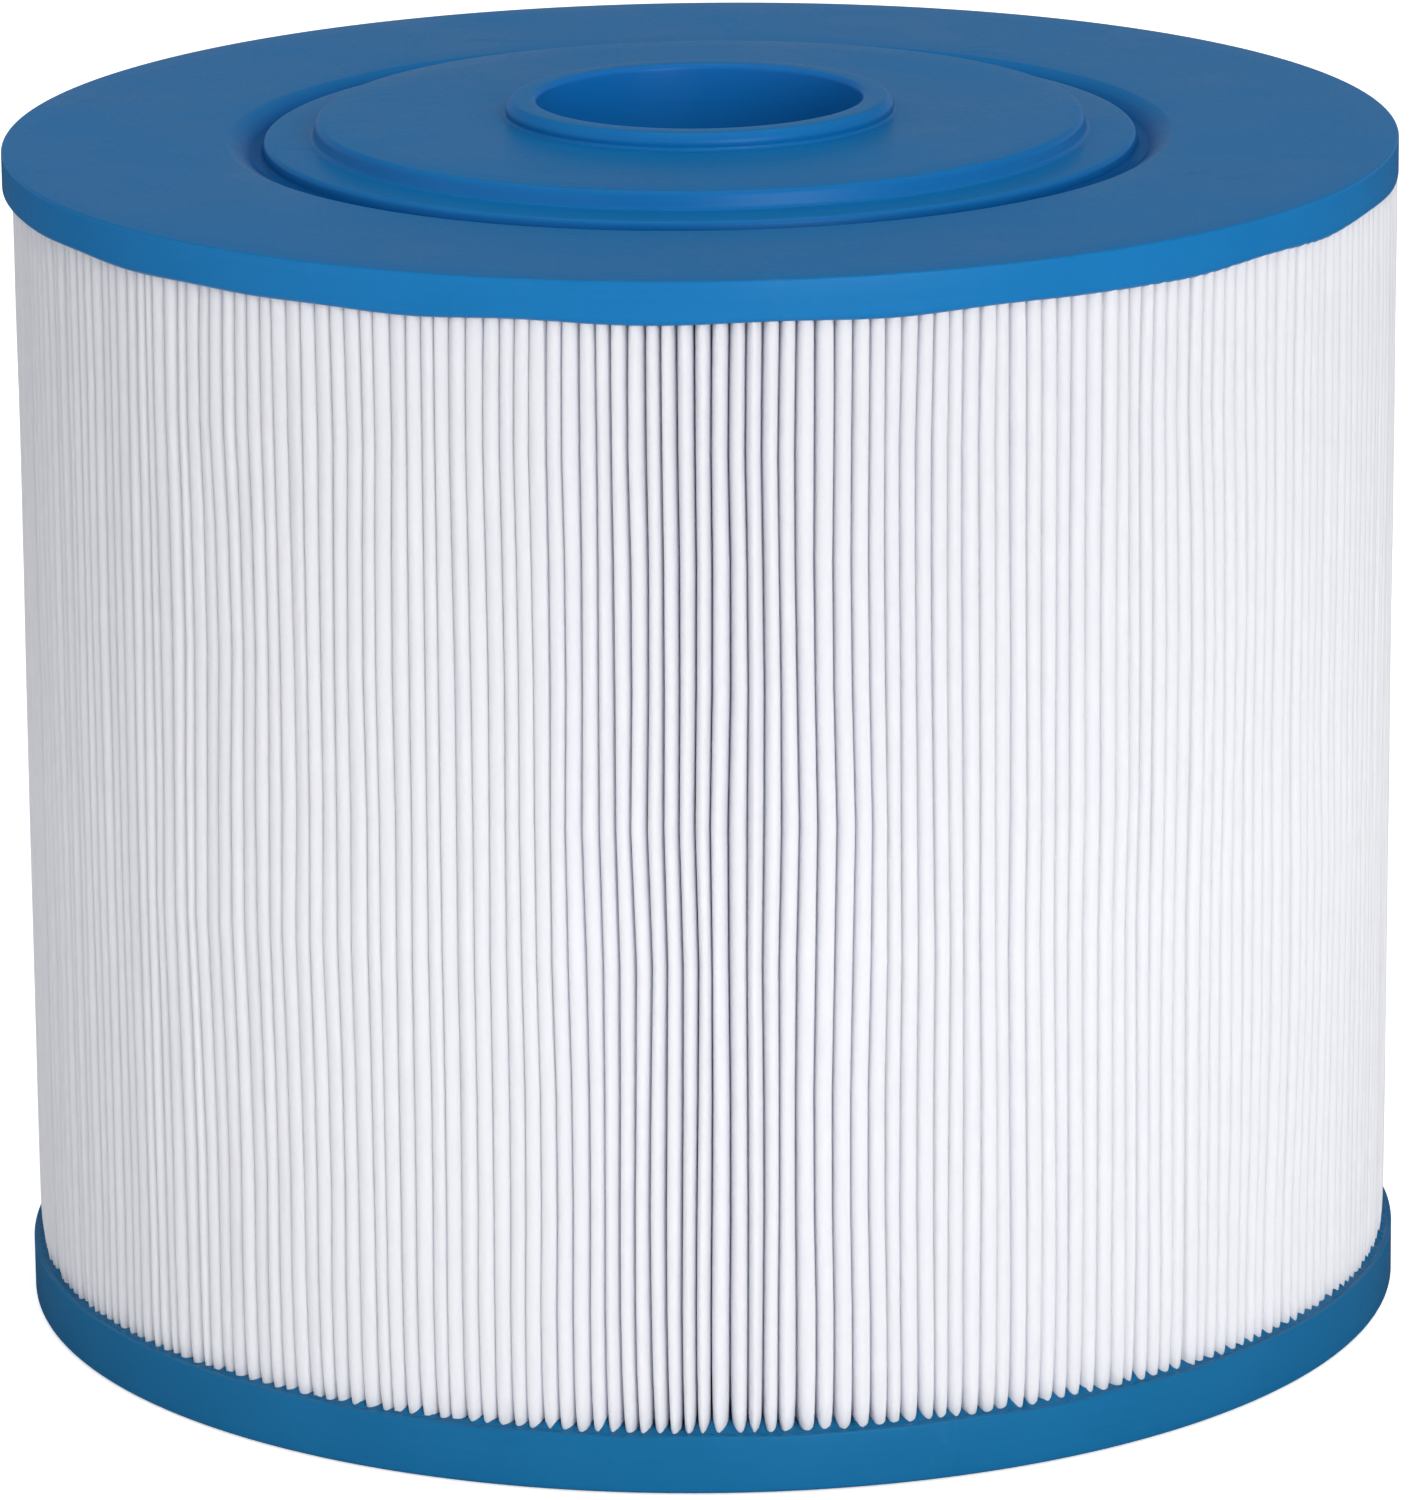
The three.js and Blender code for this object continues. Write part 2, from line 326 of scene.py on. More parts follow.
def stitch(outer_place, inner_place):
    """Triangles that join the two skins along a cut edge, by their place along the sheet."""
    outer_count, inner_count = len(outer_place), len(inner_place)
    last = outer_count + inner_count - 1  # the inner skin is numbered backwards from here
    triangles = []
    i, j = 0, 0
    while i < outer_count - 1 or j < inner_count - 1:
        if j == inner_count - 1 or (
            i < outer_count - 1 and outer_place[i + 1] <= inner_place[j + 1]
        ):
            triangles.append((i, i + 1, last - j))
            i += 1
        else:
            triangles.append((i, last - j - 1, last - j))
            j += 1
    return triangles


def build_media():
    """The folded sheet: outer skin, inner skin, both ends at the seam, and both cut edges."""
    thickness = 0.46
    inner_shoulder = 1.45  # depth of the inner skin's shoulders below the tip
    min_inner_width = 0.12
    rows = len(Z_ROWS)
    outer = []  # (points per row, place along the sheet in folds, fold depth 0..1)
    inner = []  # (points per row, place along the sheet in folds)

    def add_valley(fold):
        outer.append((valley_out(fold), fold + 0.5, 1.0))
        for k, (rise, across) in enumerate([(0.35, -0.44), (0.0, 0.0), (0.35, 0.44)]):
            point = polar(R_HEEL + rise, valley_angle[:, fold], across)
            inner.append((point, fold + 0.49 + 0.01 * k))

    def add_crest(fold):
        tip, angle = tip_radius[:, fold], fold_angle[:, fold]
        samples = len(CREST_DEPTH)
        for side, room, order in (
            (-1, room_left, range(samples - 1, 0, -1)),
            (1, room_right, range(samples)),
        ):
            for k in order:
                depth = CREST_DEPTH[k]
                across = side * crest_width(k, fold, room) + FOLD_LEAN * depth
                place = fold + side * 0.08 * k / samples
                outer.append((polar(tip - depth, angle, across), place, depth / CREST_DEPTH[-1]))
        left, right = (
            np.maximum(crest_width(SHOULDER, fold, room) - thickness, min_inner_width)
            for room in (room_left, room_right)
        )
        inner.append((polar(tip - inner_shoulder, angle, -left), fold - 0.04))
        inner.append((polar(tip - thickness * 1.1, angle), float(fold)))
        inner.append((polar(tip - inner_shoulder, angle, right), fold + 0.04))

    outer_tip, outer_heel, inner_tip, inner_heel = seam_end(1, 0)
    outer += [(outer_tip, 0.0, 0.0), (outer_heel, 0.46, 1.0)]
    inner += [(inner_tip, 0.01), (inner_heel, 0.46)]
    for fold in range(PLEATS):
        add_valley(fold)
        if fold < PLEATS - 1:
            add_crest(fold + 1)
    outer_tip, outer_heel, inner_tip, inner_heel = seam_end(-1, PLEATS - 1)
    outer += [(outer_heel, PLEATS - 0.46, 1.0), (outer_tip, float(PLEATS), 0.0)]
    inner += [(inner_heel, PLEATS - 0.46), (inner_tip, PLEATS - 0.01)]

    outer_points, outer_place, outer_depth = zip(*outer)
    inner_points, inner_place = zip(*inner)
    loop = np.stack(outer_points + inner_points[::-1], 1)  # [row, point, xy]
    count = loop.shape[1]
    loop[:, :, 0] += pack_offset(Z_ROWS)[:, None]
    z = np.repeat(Z_ROWS[:, None], count, 1)
    verts = np.concatenate([loop, z[..., None]], -1).reshape(-1, 3)

    triangles = stitch(outer_place, inner_place)
    top = (rows - 1) * count
    caps = [(a, c, b) for a, b, c in triangles]
    caps += [(a + top, b + top, c + top) for a, b, c in triangles]
    sheet = make_object("media_pleated_sheet", verts, tube_faces(rows, count) + caps)

    depth = np.tile(np.concatenate([outer_depth, np.ones(len(inner))]), rows).astype(np.float32)
    attribute = sheet.data.attributes.new("fold_depth", "FLOAT", "POINT")
    attribute.data.foreach_set("value", depth)
    return sheet


# --------------------------------------------------------------------------------------------
# Top end cap
# --------------------------------------------------------------------------------------------


def build_top_cap():
    # (radius, z, corner radius): sleeve, flange's underside, edge, groove, raised hub, collar
    outline = fillets(
        [
            (R_BORE, Z_SLEEVE, 0.4),
            (R_SLEEVE, Z_SLEEVE, 0.4),
            (R_SLEEVE, Z_LIP, 0.8),
            (104.0, Z_LIP, 0.0),
            (106.9, Z_LIP, 0.3),
            (107.35, Z_LIP - 0.15, 0.25),
            (R_FLANGE, Z_LIP + 0.35, 0.7),
            (R_FLANGE, Z_FLANGE, 0.42),
            (73.2, Z_FLANGE, 1.6),
            (71.2, Z_FLANGE - 0.9, 1.5),
            (69.4, Z_FLANGE - 2.1, 0.9),
            (67.75, Z_FLANGE - 2.05, 0.6),
            (67.45, Z_FLANGE + 0.10, 0.75),
            (59.9, Z_FLANGE + 0.18, 0.8),
            (59.5, Z_FLANGE + 3.0, 1.05),
            (29.75, Z_FLANGE + 3.0, 0.55),
            (30.35, Z_FLANGE + 4.5, 1.4),
            (29.1, Z_COLLAR, 1.0),
            (R_BORE, Z_COLLAR, 0.95),
        ],
        segments=6,
    )
    wave_angles = np.linspace(0, TAU, 720, endpoint=False)
    wave = periodic_noise(seed=31, angles=wave_angles, harmonics=26, amplitude=0.22, lowest=3)

    def level(radius, z, angle):
        """The flange's lower edge follows the poured level, which isn't quite true."""
        near = np.clip((radius - 103.0) / 3.0, 0, 1) * np.clip((Z_LIP + 1.2 - z) / 1.2, 0, 1)
        return z + near * np.interp(angle, wave_angles, wave, period=TAU)

    angles = np.linspace(0, TAU, 384, endpoint=False)
    return revolve("top_cap_shell", refine(outline, 6.0), angles, level)


# --------------------------------------------------------------------------------------------
# Bottom end cap: its poured surface climbs a little into every gap between two folds
# --------------------------------------------------------------------------------------------


def build_bottom_cap():
    # Four angles to each fold: its tip, its flank, the gap's middle and the next fold's flank
    centre = places[RIM_ROW]
    half_width = 0.25 * (room_left[RIM_ROW] + room_right[RIM_ROW]) * 0.80 * pinch[RIM_ROW]
    next_centre = np.roll(centre, -1)
    next_centre[-1] += TAU * R_MEDIA
    right = centre + half_width * 0.9
    left = next_centre - np.roll(half_width, -1) * 0.9
    stations = np.stack([centre, right, (right + left) / 2, left], 1).ravel()
    stations = stations / R_MEDIA + BACK + math.pi
    order = np.argsort(stations)
    angles = stations[order]
    gap_share = np.tile([0.0, 0.8, 1.0, 0.8], PLEATS)[order]  # of the gap's climb; 0 at a tip

    climb_rng = np.random.default_rng(92)
    # along the front half the climb varies with x; the back half takes the value at x = 0
    front_x = R_MEDIA * np.cos(angles) * np.where(np.sin(angles) < 0, 1.0, 0.0)
    calm = np.interp(front_x, [-108.0, -70.0, -35.0, 30.0, 108.0], [0.40, 0.50, 0.85, 1.0, 0.9])
    patchy = 1.0 + periodic_noise(seed=93, angles=angles, harmonics=75, amplitude=0.42, lowest=14)
    gap_climb = np.clip(climb_rng.normal(loc=0.98, scale=0.36, size=len(angles)), 0.25, 2.2)
    gap_climb = gap_climb * calm * np.clip(patchy, 0.35, 1.9)
    tip_climb = np.clip(climb_rng.normal(loc=0.25, scale=0.12, size=len(angles)), 0.0, 0.6)
    lip_wave = periodic_noise(seed=5, angles=angles, harmonics=30, amplitude=0.10, lowest=3)

    # (radius, z, corner radius): bore, underside with its groove, rim, poured surface, sleeve
    outline = fillets(
        [
            (R_BORE, 13.0, 0.5),
            (R_BORE, 0.0, 0.8),
            (67.4, 0.0, 0.5),
            (68.9, 1.5, 0.6),
            (70.6, 1.5, 0.6),
            (72.1, 0.0, 0.5),
            (R_BASE, 0.0, 0.7),
            (R_BASE, Z_RIM, 0.38),
            (107.6, Z_RIM, 0.25),
            (107.3, 8.75, 0.0),
            (106.8, 8.8, 0.0),
            (106.2, 8.9, 0.0),
            (105.5, 8.9, 0.0),
            (104.3, 8.9, 0.0),
            (102.1, 8.9, 0.0),
            (98.0, 8.6, 0.0),
            (R_SLEEVE, 8.6, 0.9),
            (R_SLEEVE, 13.0, 0.5),
        ],
        segments=4,
    )
    upper_z = 8.3  # points above this belong to the poured surface or the rim

    def level(radius, z, angle):
        """Lifts the poured surface between the folds and at their tips, and waves the rim."""
        poured = (z > upper_z) & (radius < 107.8) & (radius > 97.0)
        gap_fade = np.interp(radius, [98.0, 102.1, 104.3, 105.5, 106.2, 106.8, 107.3, 107.7],
                             [0.0, 1.0, 1.0, 0.85, 0.62, 0.34, 0.10, 0.0])
        tip_fade = np.interp(radius, [105.5, 106.8, 107.7], [1.0, 0.8, 0.0])
        rise = (gap_climb * gap_share)[:, None] * gap_fade
        rise = rise + np.where(gap_share == 0, tip_climb, 0.0)[:, None] * tip_fade
        z = np.where(poured, z + rise, z)
        rim = (z > upper_z) & (radius >= 107.4)
        return np.where(rim, z + lip_wave[:, None], z)

    return revolve("bottom_cap_pan", refine(outline, 18.0), angles, level)


# --------------------------------------------------------------------------------------------
# Seam clip at the back
# --------------------------------------------------------------------------------------------


def build_clip():
    """A slightly wavy U-shaped strip over the seam, its legs pointing in to the axis."""
    half, wall, leg = 1.15, 0.35, 6.0
    # right half of the section as (x, distance out from R_MEDIA), from the web's inside round
    # the leg to the crown
    section = [
        (half - wall - 0.12, -wall), (half - wall, -wall - 0.12), (half - wall, -leg),
        (half - wall * 0.5, -leg - 0.12), (half, -leg),
        (half, -0.62), (half - 0.09, -0.30), (half - 0.33, -0.07), (half - 0.66, 0.0),
    ]
    mirrored = [(-x, y) for x, y in reversed(section)]
    ring = mirrored[4:] + section + mirrored[:4]

    heights = np.linspace(Z_MEDIA0, Z_MEDIA1, 60)
    rows, count = len(heights), len(ring)
    clip_rng = np.random.default_rng(8)
    wave_x = np.cumsum(clip_rng.normal(scale=0.03, size=rows))
    wave_x = wave_x - np.linspace(wave_x[0], wave_x[-1], rows)
    wave_y = np.convolve(clip_rng.normal(scale=0.06, size=rows + 8), np.ones(9) / 9, "valid")
    verts = [
        (x + wave_x[i] + pack_offset(z), R_MEDIA + y + wave_y[i] - 0.05, z)
        for i, z in enumerate(heights)
        for x, y in ring
    ]
    foot = tuple(reversed(range(count)))
    head = tuple(range((rows - 1) * count, rows * count))
    return make_object("seam_clip_strip", verts, tube_faces(rows, count) + [foot, head])


# --------------------------------------------------------------------------------------------
# Core sections: lattice tubes with rounded windows, each spigot in the next one's socket
# --------------------------------------------------------------------------------------------

R_CORE_IN, R_CORE_OUT = 53.5, 57.0
SECTION = (Z_MEDIA1 - Z_MEDIA0) / 3
CELL = TAU / 16  # one rib and one window, as an angle
RIB = CELL / 3
WINDOWS = [(8.0, 28.5), (32.5, 52.5)]  # foot and head of each window above the section's foot
CELL_SPLIT = 30.5  # height between the two rows of windows
WINDOW_ROUND = 3.0
CORNER_STEPS = 5  # steps round a window's corner
BEVEL = 0.35  # at a window's edges
SOCKET_DEPTH, R_SOCKET = 4.0, 55.5
SPIGOT_HEIGHT, R_SPIGOT = 3.75, 55.25


def window_outline(column, foot, head, grow):
    """A window's edge as (angle, z), anticlockwise seen from outside, from the low left corner."""
    left = column * CELL + RIB - grow / R_CORE_OUT
    right = column * CELL + CELL + grow / R_CORE_OUT
    foot, head = foot - grow, head + grow
    round_z = WINDOW_ROUND + grow
    round_angle = round_z / R_CORE_OUT
    points = []
    for angle, z, start in [
        (left + round_angle, foot + round_z, 180),
        (right - round_angle, foot + round_z, 270),
        (right - round_angle, head - round_z, 0),
        (left + round_angle, head - round_z, 90),
    ]:
        for k in range(CORNER_STEPS + 1):
            turn = math.radians(start + 90 * k / CORNER_STEPS)
            points.append((angle + round_angle * math.cos(turn), z + round_z * math.sin(turn)))
    return points


def build_core(name, base_z, socket, spigot):
    verts, faces = [], []
    index = {}  # vertex numbers by rounded (angle, radius, z), so that neighbours share them
    foot_z = SOCKET_DEPTH if socket else 0.0
    cells = [
        (column, foot, head, window)
        for column in range(16)
        for foot, head, window in [
            (foot_z, CELL_SPLIT, WINDOWS[0]), (CELL_SPLIT, SECTION, WINDOWS[1]),
        ]
    ]

    def vert(radius, angle, z):
        angle_key = round((angle % TAU) * 1e6) % round(TAU * 1e6)
        key = (angle_key, round(radius * 1e4), round(z * 1e4))
        if key not in index:
            index[key] = len(verts)
            verts.append((radius * math.cos(angle), radius * math.sin(angle), z))
        return index[key]

    def bands(rings):
        """Quads between consecutive closed rings."""
        for ring, following in zip(rings, rings[1:]):
            for k in range(len(ring)):
                k2 = (k + 1) % len(ring)
                faces.append((ring[k], ring[k2], following[k2], following[k]))

    def skin(radius, inward):
        """One face of the wall: each cell is a frame of quads round its window."""
        for column, foot, head, window in cells:
            outline = window_outline(column, *window, BEVEL)
            left = column * CELL + RIB / 2
            right = left + CELL
            corners = [(left, foot), (right, foot), (right, head), (left, head)]
            # the window's points, thrown out onto the cell's sides
            frame = []
            for k, (angle, z) in enumerate(outline):
                quarter, step = divmod(k, CORNER_STEPS + 1)
                corner_angle, corner_z = corners[quarter]
                first_half = step <= CORNER_STEPS // 2
                upright = first_half == (quarter % 2 == 0)
                frame.append((corner_angle, z) if upright else (angle, corner_z))
            for k in range(len(outline)):
                k2 = (k + 1) % len(outline)
                ends = (frame[k], frame[k2], outline[k2], outline[k])
                face = [vert(radius, *point) for point in ends]
                quarter, step = divmod(k, CORNER_STEPS + 1)
                if step == CORNER_STEPS // 2:
                    face.insert(1, vert(radius, *corners[quarter]))
                faces.append(tuple(reversed(face)) if inward else tuple(face))

    def end_wall(path):
        """Sweeps (z, radius) points round at the angles where the skin's edge has vertices."""
        edge = (round(R_CORE_OUT * 1e4), round(path[0][0] * 1e4))
        angles = sorted(key[0] for key in index if key[1:] == edge)
        bands([[vert(radius, angle / 1e6, z) for angle in angles] for z, radius in path])

    skin(R_CORE_OUT, inward=False)
    skin(R_CORE_IN, inward=True)

    small = BEVEL * 0.35
    reveal = [  # (radius, growth of the outline) through the wall, bevelled at both edges
        (R_CORE_OUT, BEVEL), (R_CORE_OUT - small, small), (R_CORE_OUT - BEVEL, 0.0),
        (R_CORE_IN + BEVEL, 0.0), (R_CORE_IN + small, small), (R_CORE_IN, BEVEL),
    ]
    for column, _, _, window in cells:
        bands([
            [vert(radius, *point) for point in window_outline(column, *window, grow)]
            for radius, grow in reveal
        ])

    head_path = [(SECTION, R_CORE_OUT), (SECTION, R_CORE_IN)]
    if spigot:
        tip = SECTION + SPIGOT_HEIGHT
        head_path[1:1] = [
            (SECTION, R_SPIGOT), (tip - 0.5, R_SPIGOT), (tip, R_SPIGOT - 0.4),
            (tip, R_CORE_IN + 0.3), (tip - 0.3, R_CORE_IN),
        ]
    end_wall(head_path)
    foot_path = [(foot_z, R_CORE_IN), (foot_z, R_CORE_OUT)]
    if socket:
        foot_path[1:1] = [
            (foot_z, R_SOCKET), (0.5, R_SOCKET), (0.0, R_SOCKET + 0.4),
            (0.0, R_CORE_OUT - 0.4), (0.4, R_CORE_OUT),
        ]
    end_wall(foot_path)

    placed = np.array(verts)
    placed[:, 2] += base_z
    return make_object(name, placed, faces)


# --------------------------------------------------------------------------------------------
# Discs in the core's two ends
# --------------------------------------------------------------------------------------------


def build_disc(name, face_z, up):
    """A flat ring with a rim along its outer edge; up is +1 or -1, the way the rim stands."""
    bore, outside, rim_inside = 29.25, 52.5, 50.5
    floor_z, rim_z = face_z + up * 3.0, face_z + up * 7.0
    corners = [
        (bore, face_z, 0.3), (outside, face_z, 0.5), (outside, rim_z, 0.4),
        (rim_inside, rim_z, 0.4), (rim_inside, floor_z, 1.0), (bore, floor_z, 0.4),
    ]
    outline = fillets(corners if up > 0 else corners[::-1], segments=4)
    angles = np.linspace(0, TAU, 160, endpoint=False)
    return revolve(name, refine(outline, 5.0), angles)


media = build_media()
top_cap = build_top_cap()
bottom_cap = build_bottom_cap()
clip = build_clip()
core_low, core_mid, core_top = (
    build_core(name, Z_MEDIA0 + i * SECTION, socket, spigot)
    for i, (name, socket, spigot) in enumerate([
        ("core_tube_lower", False, True),
        ("core_tube_middle", True, True),
        ("core_tube_upper", True, False),
    ])
)
disc_low = build_disc("core_disc_lower", Z_MEDIA0, up=1)
disc_top = build_disc("core_disc_upper", Z_MEDIA1, up=-1)

# --------------------------------------------------------------------------------------------
# Materials; positions are in metres, so a noise's stretch is in cells per metre
# --------------------------------------------------------------------------------------------


class Nodes:
    """Short-hand for building the node tree of a material or world."""

    def __init__(self, owner, output="OutputMaterial"):
        owner.use_nodes = True
        self.tree = owner.node_tree
        self.tree.nodes.clear()
        self.output = self.node(output)

    def node(self, kind, **props):
        node = self.tree.nodes.new("ShaderNode" + kind)
        for key, value in props.items():
            setattr(node, key, value)
        return node

    def put(self, socket, value):
        if isinstance(value, bpy.types.NodeSocket):
            self.tree.links.new(value, socket)
        else:
            socket.default_value = value

    def finish(self, shader):
        self.put(self.output.inputs[0], shader)

    def position(self):
        return self.node("TexCoord").outputs["Object"]

    def xyz(self, vector):
        node = self.node("SeparateXYZ")
        self.put(node.inputs[0], vector)
        return node.outputs

    def noise(self, vector, detail, rough, stretch=None, distortion=0.0):
        if stretch:
            mapping = self.node("Mapping")
            self.put(mapping.inputs["Vector"], vector)
            mapping.inputs["Scale"].default_value = stretch
            vector = mapping.outputs["Vector"]
        node = self.node("TexNoise")
        for key, value in (("Vector", vector), ("Scale", 1.0), ("Detail", detail),
                           ("Roughness", rough), ("Distortion", distortion)):
            self.put(node.inputs[key], value)
        return node.outputs["Fac"]

    def math(self, operation, first, second=0.0):
        node = self.node("Math", operation=operation)
        for socket, value in zip(node.inputs, (first, second, 0.0)):
            self.put(socket, value)
        return node.outputs[0]

    def add(self, first, second):
        return self.math("ADD", first, second)

    def times(self, first, second):
        return self.math("MULTIPLY", first, second)

    def remap(self, value, span, to=(0, 1)):
        """Maps the range `span` linearly onto `to`, clamped."""
        node = self.node("MapRange")
        self.put(node.inputs["Value"], value)
        for key, limit in zip(("From Min", "From Max", "To Min", "To Max"), (*span, *to)):
            self.put(node.inputs[key], limit)
        return node.outputs["Result"]

    def mix(self, factor, base, colour, blend="MIX"):
        """Blends `colour` over `base`; a colour is a socket or plain (r, g, b)."""
        node = self.node("Mix", data_type="RGBA", blend_type=blend)
        self.put(node.inputs[0], factor)
        for slot, value in ((6, base), (7, colour)):
            self.put(node.inputs[slot], (*value, 1) if isinstance(value, tuple) else value)
        return node.outputs[2]

    def bump(self, height, distance, strength, normal=None):
        node = self.node("Bump")
        node.inputs["Strength"].default_value = strength
        node.inputs["Distance"].default_value = distance
        self.put(node.inputs["Height"], height)
        if normal is not None:
            self.put(node.inputs["Normal"], normal)
        return node.outputs["Normal"]

    def shader(self, kind, **inputs):
        node = self.node(kind)
        for key, value in inputs.items():
            self.put(node.inputs[key.replace("_", " ")], value)
        return node.outputs[0]

    def mix_shader(self, factor, first, second):
        node = self.node("MixShader")
        for socket, value in zip(node.inputs, (factor, first, second)):
            self.put(socket, value)
        return node.outputs[0]


def pu_material(name, tint, rough):
    """Cast blue polyurethane: satin skin, turning marks, flow lines round the rim, light scuffs."""
    nodes = Nodes(bpy.data.materials.new(name))
    place = nodes.position()
    x, y, z = nodes.xyz(place)
    radius = nodes.math("SQRT", nodes.add(nodes.times(x, x), nodes.times(y, y)))
    cloud = nodes.noise(place, stretch=(38, 38, 38), detail=3.0, rough=0.55)
    fine = nodes.noise(place, stretch=(900, 900, 900), detail=2.0, rough=0.6)
    lines = nodes.noise(place, stretch=(14, 14, 1700), detail=2.0, rough=0.6)
    ring_place = nodes.node("CombineXYZ")
    nodes.put(ring_place.inputs[0], nodes.times(radius, 1400.0))
    nodes.put(ring_place.inputs[2], nodes.times(z, 60.0))
    rings = nodes.noise(ring_place.outputs[0], detail=2.0, rough=0.6)
    streaks = nodes.noise(place, stretch=(60, 150, 60), detail=4.0, rough=0.65, distortion=0.8)
    patches = nodes.noise(place, stretch=(24, 24, 24), detail=2.0, rough=0.5)
    scuff = nodes.times(
        nodes.remap(streaks, span=(0.60, 0.72)), nodes.remap(patches, span=(0.50, 0.62))
    )
    normal_z = nodes.xyz(nodes.node("NewGeometry").outputs["Normal"])[2]
    flat = nodes.remap(nodes.math("ABSOLUTE", normal_z), span=(0.80, 0.98))

    # Two clouded blues, with paler flow lines on the upright walls
    deep, light = (
        tuple(value * share for value, share in zip(colour, tint))
        for colour in ((0.0024, 0.119, 0.314), (0.0032, 0.131, 0.340))
    )
    pale = tuple(value * share for value, share in zip((0.0050, 0.152, 0.385), tint))
    base = nodes.mix(nodes.remap(cloud, span=(0.3, 0.7)), deep, colour=light)
    wall = nodes.math("SUBTRACT", 1.0, flat)
    flow = nodes.times(nodes.remap(lines, span=(0.45, 0.75), to=(0, 0.22)), wall)
    base = nodes.mix(flow, base, colour=pale)
    # Painted shade darkens the top cap's groove and the upright inner walls; painted light makes
    # the bore's walls brighter and bluer
    # painted shade: the groove's recess is multiplied darker and bluer
    painted_groove_shade = nodes.times(
        nodes.remap(radius, span=(0.0640, 0.0672), to=(0.0, 1.0)),
        nodes.remap(radius, span=(0.0722, 0.0736), to=(1.0, 0.0)),
    )
    painted_groove_shade = nodes.times(painted_groove_shade, nodes.remap(z, span=(0.1826, 0.1844), to=(1.0, 0.0)))
    base = nodes.mix(painted_groove_shade, base, colour=(0.30, 0.58, 0.70), blend="MULTIPLY")
    # painted shade: upright walls inside the groove are made darker and a little bluer
    inner = nodes.times(wall, nodes.remap(radius, span=(0.078, 0.080), to=(1.0, 0.0)))
    base = nodes.mix(inner, base, colour=(0.90, 0.94, 1.04), blend="MULTIPLY")
    # painted light: the bore's walls are made brighter and bluer
    bore = nodes.times(wall, nodes.remap(radius, span=(0.0262, 0.0272), to=(1.0, 0.0)))
    base = nodes.mix(bore, base, colour=(1.10, 1.0, 1.14), blend="MULTIPLY")
    # Fine speckle and scuffs
    speckle = nodes.remap(fine, span=(0.2, 0.8), to=(0.0, 0.06))
    base = nodes.mix(speckle, base, colour=(0.020, 0.18, 0.42))
    scuff_tone, scuff_rough = 0.16, 0.10  # how far a scuff pales and roughens the skin
    base = nodes.mix(nodes.times(scuff, scuff_tone), base, colour=(0.035, 0.175, 0.36))

    clouded = nodes.remap(cloud, span=(0.3, 0.7), to=(rough - 0.03, rough + 0.05))
    roughness = nodes.add(clouded, nodes.times(scuff, scuff_rough))
    roughness = nodes.add(roughness, nodes.remap(fine, span=(0.3, 0.7), to=(-0.02, 0.03)))
    normal = nodes.bump(cloud, distance=0.0006, strength=0.12)
    normal = nodes.bump(nodes.times(rings, flat), distance=0.00003, strength=0.35, normal=normal)
    normal = nodes.bump(nodes.times(lines, wall), distance=0.00004, strength=0.5, normal=normal)
    normal = nodes.bump(fine, distance=0.00003, strength=0.35, normal=normal)
    specular, groove_loss = 0.16, 0.14  # the groove mirrors almost nothing
    nodes.finish(nodes.shader(
        "BsdfPrincipled", Base_Color=base, Roughness=roughness, IOR=1.47, Normal=normal,
        Specular_IOR_Level=nodes.math("SUBTRACT", specular, nodes.times(painted_groove_shade, groove_loss)),
    ))
    return nodes.tree.id_data if False else bpy.data.materials[name]


def media_material(name):
    """White spunbonded nonwoven: tangled fibres, clouds of thickness, light through each fold."""
    material = bpy.data.materials.new(name)
    nodes = Nodes(material)
    place = nodes.position()
    fibre = nodes.noise(place, stretch=(1300, 1300, 420), detail=2.0, rough=0.65)
    cloud = nodes.noise(place, stretch=(300, 300, 150), detail=1.0, rough=0.6)
    fibre_share, cloud_share = 0.55, 0.45
    mottle = nodes.add(nodes.times(fibre, fibre_share), nodes.times(cloud, cloud_share))
    base = nodes.mix(
        nodes.remap(mottle, span=(0.32, 0.68)), (0.930, 0.932, 0.952), colour=(0.955, 0.957, 0.971)
    )
    # painted shade: bluer down the flanks of each fold, and darker towards the top
    depth = nodes.node("Attribute", attribute_name="fold_depth").outputs["Fac"]
    base = nodes.mix(nodes.remap(depth, span=(0.04, 0.8)), base, colour=(0.938, 0.947, 0.988))
    # painted shade: the sheet's colour is multiplied darker towards the top
    height = nodes.remap(nodes.xyz(place)[2], span=(0.085, 0.165))
    base = nodes.mix(height, base, colour=(0.952, 0.952, 0.958), blend="MULTIPLY")
    surface = nodes.shader(
        "BsdfPrincipled", Base_Color=base, Roughness=0.85, IOR=1.35, Specular_IOR_Level=0.20,
        Normal=nodes.bump(mottle, distance=0.00014, strength=0.30),
    )
    through = nodes.shader("BsdfTranslucent", Color=base)
    nodes.finish(nodes.mix_shader(factor=0.50, first=surface, second=through))
    return material


def plastic_material(name, low, high, rough):
    """Moulded or extruded white plastic with a slight mottle and grain."""
    material = bpy.data.materials.new(name)
    nodes = Nodes(material)
    place = nodes.position()
    cloud = nodes.noise(place, stretch=(90, 90, 60), detail=3.0, rough=0.55)
    fine = nodes.noise(place, stretch=(1300, 1300, 500), detail=2.0, rough=0.6)
    base = nodes.mix(nodes.remap(cloud, span=(0.3, 0.7)), low, colour=high)
    roughness = nodes.remap(fine, span=(0.3, 0.7), to=(rough - 0.05, rough + 0.07))
    normal = nodes.bump(cloud, distance=0.0004, strength=0.15)
    normal = nodes.bump(fine, distance=0.00003, strength=0.5, normal=normal)
    nodes.finish(nodes.shader(
        "BsdfPrincipled", Base_Color=base, Roughness=roughness, IOR=1.49, Normal=normal
    ))
    return material


